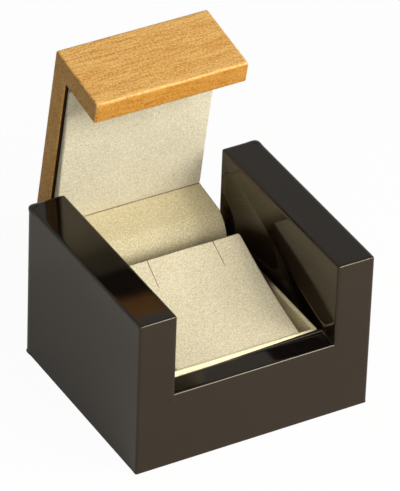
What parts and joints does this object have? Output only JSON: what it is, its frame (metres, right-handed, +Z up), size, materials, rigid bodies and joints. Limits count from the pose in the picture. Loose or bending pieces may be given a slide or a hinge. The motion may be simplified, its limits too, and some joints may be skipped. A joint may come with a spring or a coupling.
{
  "type": "earring box",
  "caption": "Small two-tone wooden earring box: a U-shaped maple lid swings back between thick dark lacquered cheeks, over a cream lined tray and a slit ramp pad.",
  "frame": {"origin": "centre of the felt underside, where the box stands", "axes": "+X to the viewer's right, -Y out of the front, where the ledge is, +Z up; the lid stands open at rest"},
  "size_m": [0.073, 0.0843, 0.0919],
  "materials": {
    "lacquered_wood": "dark brown-black gloss lacquer over wood",
    "maple": "clear satin lacquer over pale maple",
    "leatherette": "cream fine-grain leatherette",
    "card": "grey pressed card",
    "wadding": "soft foam sheet",
    "board": "stained fibreboard",
    "dowel_wood": "plain beech",
    "felt": "black felt",
    "brass": "polished brass"
  },
  "bodies": {
    "base": {"left_cheek": "lacquered_wood", "right_cheek": "lacquered_wood", "front_rail": "lacquered_wood", "rear_rail": "lacquered_wood", "bottom_board": "board", "rail_dowels": "dowel_wood", "base_felt": "felt", "tray_card": "card", "tray_cover": "leatherette", "hinge_cover": "leatherette", "left_hinge_base_leaf": "brass", "right_hinge_base_leaf": "brass", "left_hinge_pin": "brass", "right_hinge_pin": "brass", "hinge_base_screws": "brass"},
    "lid": {"lid_front_board": "maple", "lid_top_board": "maple", "lid_rear_board": "maple", "lid_front_card": "card", "lid_front_cover": "leatherette", "lid_top_card": "card", "lid_top_wadding": "wadding", "lid_top_cover": "leatherette", "rear_lining": "leatherette", "left_hinge_lid_leaf": "brass", "right_hinge_lid_leaf": "brass", "hinge_lid_screws": "brass"},
    "pad": {"pad_card": "card", "pad_foam": "wadding", "pad_wadding": "wadding", "pad_cover": "leatherette"}
  },
  "joints": [
    {"name": "lid_hinge", "type": "hinge", "parent": "base", "child": "lid", "pos_m": [0, 0.0294, 0.0274], "axis": [1, 0, 0], "range_deg": [0, 80], "deforming": ["hinge_cover"]},
    {"name": "pad_lift", "type": "slide", "parent": "base", "child": "pad", "axis": [0, 0, 1], "range_m": [0, 0.0024]}
  ]
}
